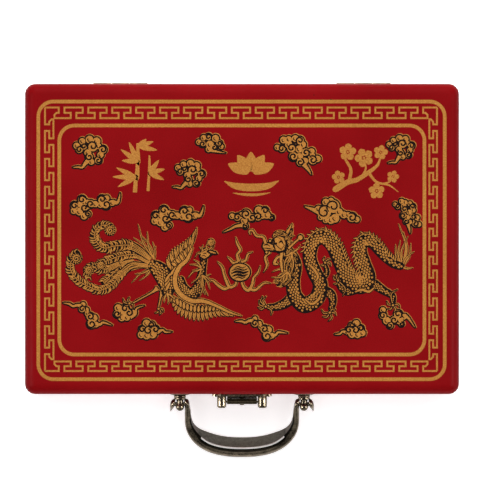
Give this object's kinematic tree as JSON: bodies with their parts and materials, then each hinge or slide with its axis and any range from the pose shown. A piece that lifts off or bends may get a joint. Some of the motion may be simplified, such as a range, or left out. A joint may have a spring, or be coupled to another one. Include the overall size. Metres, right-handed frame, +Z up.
{
  "type": "mahjong case",
  "caption": "Shallow rectangular carrying case with a hinged lid, hasp and turn-knob catch, swing handle, and lift-out tile trays inside.",
  "frame": {"origin": "centre of the case's flat underside, where it rests on a table", "axes": "+X to the right seen from the handle side, +Y from the handle to the hinges, +Z up through the lid"},
  "size_m": [0.32, 0.2793, 0.0754],
  "materials": {
    "board_wood": "sawn softwood and plywood, unfinished",
    "red_leatherette": "smooth red leatherette, satin, lightly scuffed",
    "underside_cloth": "black bookcloth",
    "crimson_velvet": "short-pile velvet",
    "gold_silk": "padded yellow silk",
    "tray_cloth": "yellow silk-faced card",
    "antique_bronze": "darkened antique bronze plating, rubbed on the edges",
    "plain_steel": "bright zinc"
  },
  "bodies": {
    "base": {"base_back_board": "board_wood", "base_floor_board": "board_wood", "base_floor_lining": "crimson_velvet", "base_front_board": "board_wood", "base_left_board": "board_wood", "base_right_board": "board_wood", "base_underside_sheet": "underside_cloth", "base_wall_lining": "crimson_velvet", "base_wrap": "red_leatherette", "catch_plate": "antique_bronze", "catch_plate_nails": "antique_bronze", "compartment_partition": "crimson_velvet", "handle_nuts": "plain_steel", "handle_washers": "plain_steel", "hinge_base_screws": "antique_bronze", "left_handle_pin": "antique_bronze", "left_handle_post": "antique_bronze", "left_handle_rosette": "antique_bronze", "left_hinge_base_leaf": "antique_bronze", "left_hinge_pin": "antique_bronze", "lower_left_tray": "tray_cloth", "lower_right_tray": "tray_cloth", "right_handle_pin": "antique_bronze", "right_handle_post": "antique_bronze", "right_handle_rosette": "antique_bronze", "right_hinge_base_leaf": "antique_bronze", "right_hinge_pin": "antique_bronze", "upper_left_tray": "tray_cloth", "upper_right_tray": "tray_cloth"},
    "lid": {"hasp_pin": "antique_bronze", "hinge_lid_screws": "antique_bronze", "latch_plate": "antique_bronze", "latch_plate_nails": "antique_bronze", "left_hinge_lid_leaf": "antique_bronze", "left_latch_post": "antique_bronze", "lid_back_board": "board_wood", "lid_front_board": "board_wood", "lid_left_board": "board_wood", "lid_right_board": "board_wood", "lid_top_board": "board_wood", "lid_top_lining": "gold_silk", "lid_wall_lining": "crimson_velvet", "lid_wrap": "red_leatherette", "right_hinge_lid_leaf": "antique_bronze", "right_latch_post": "antique_bronze"},
    "hasp": {"hasp": "antique_bronze"},
    "handle": {"handle_bail": "antique_bronze"},
    "knob": {"turn_knob": "antique_bronze"}
  },
  "joints": [
    {"name": "lid_hinge", "type": "hinge", "parent": "base", "child": "lid", "pos_m": [0, 0.1145, 0.0482], "axis": [-1, 0, 0], "range_deg": [0, 95]},
    {"name": "hasp_pivot", "type": "hinge", "parent": "lid", "child": "hasp", "pos_m": [0, -0.1201, 0.058], "axis": [-1, 0, 0], "range_deg": [0, 110]},
    {"name": "handle_swing", "type": "hinge", "parent": "base", "child": "handle", "pos_m": [0, -0.1225, 0.0274], "axis": [-1, 0, 0], "range_deg": [-38, 50]},
    {"name": "knob_turn", "type": "hinge", "parent": "base", "child": "knob", "pos_m": [0, -0.1145, 0.04], "axis": [0, -1, 0], "range_deg": [0, 90]}
  ]
}
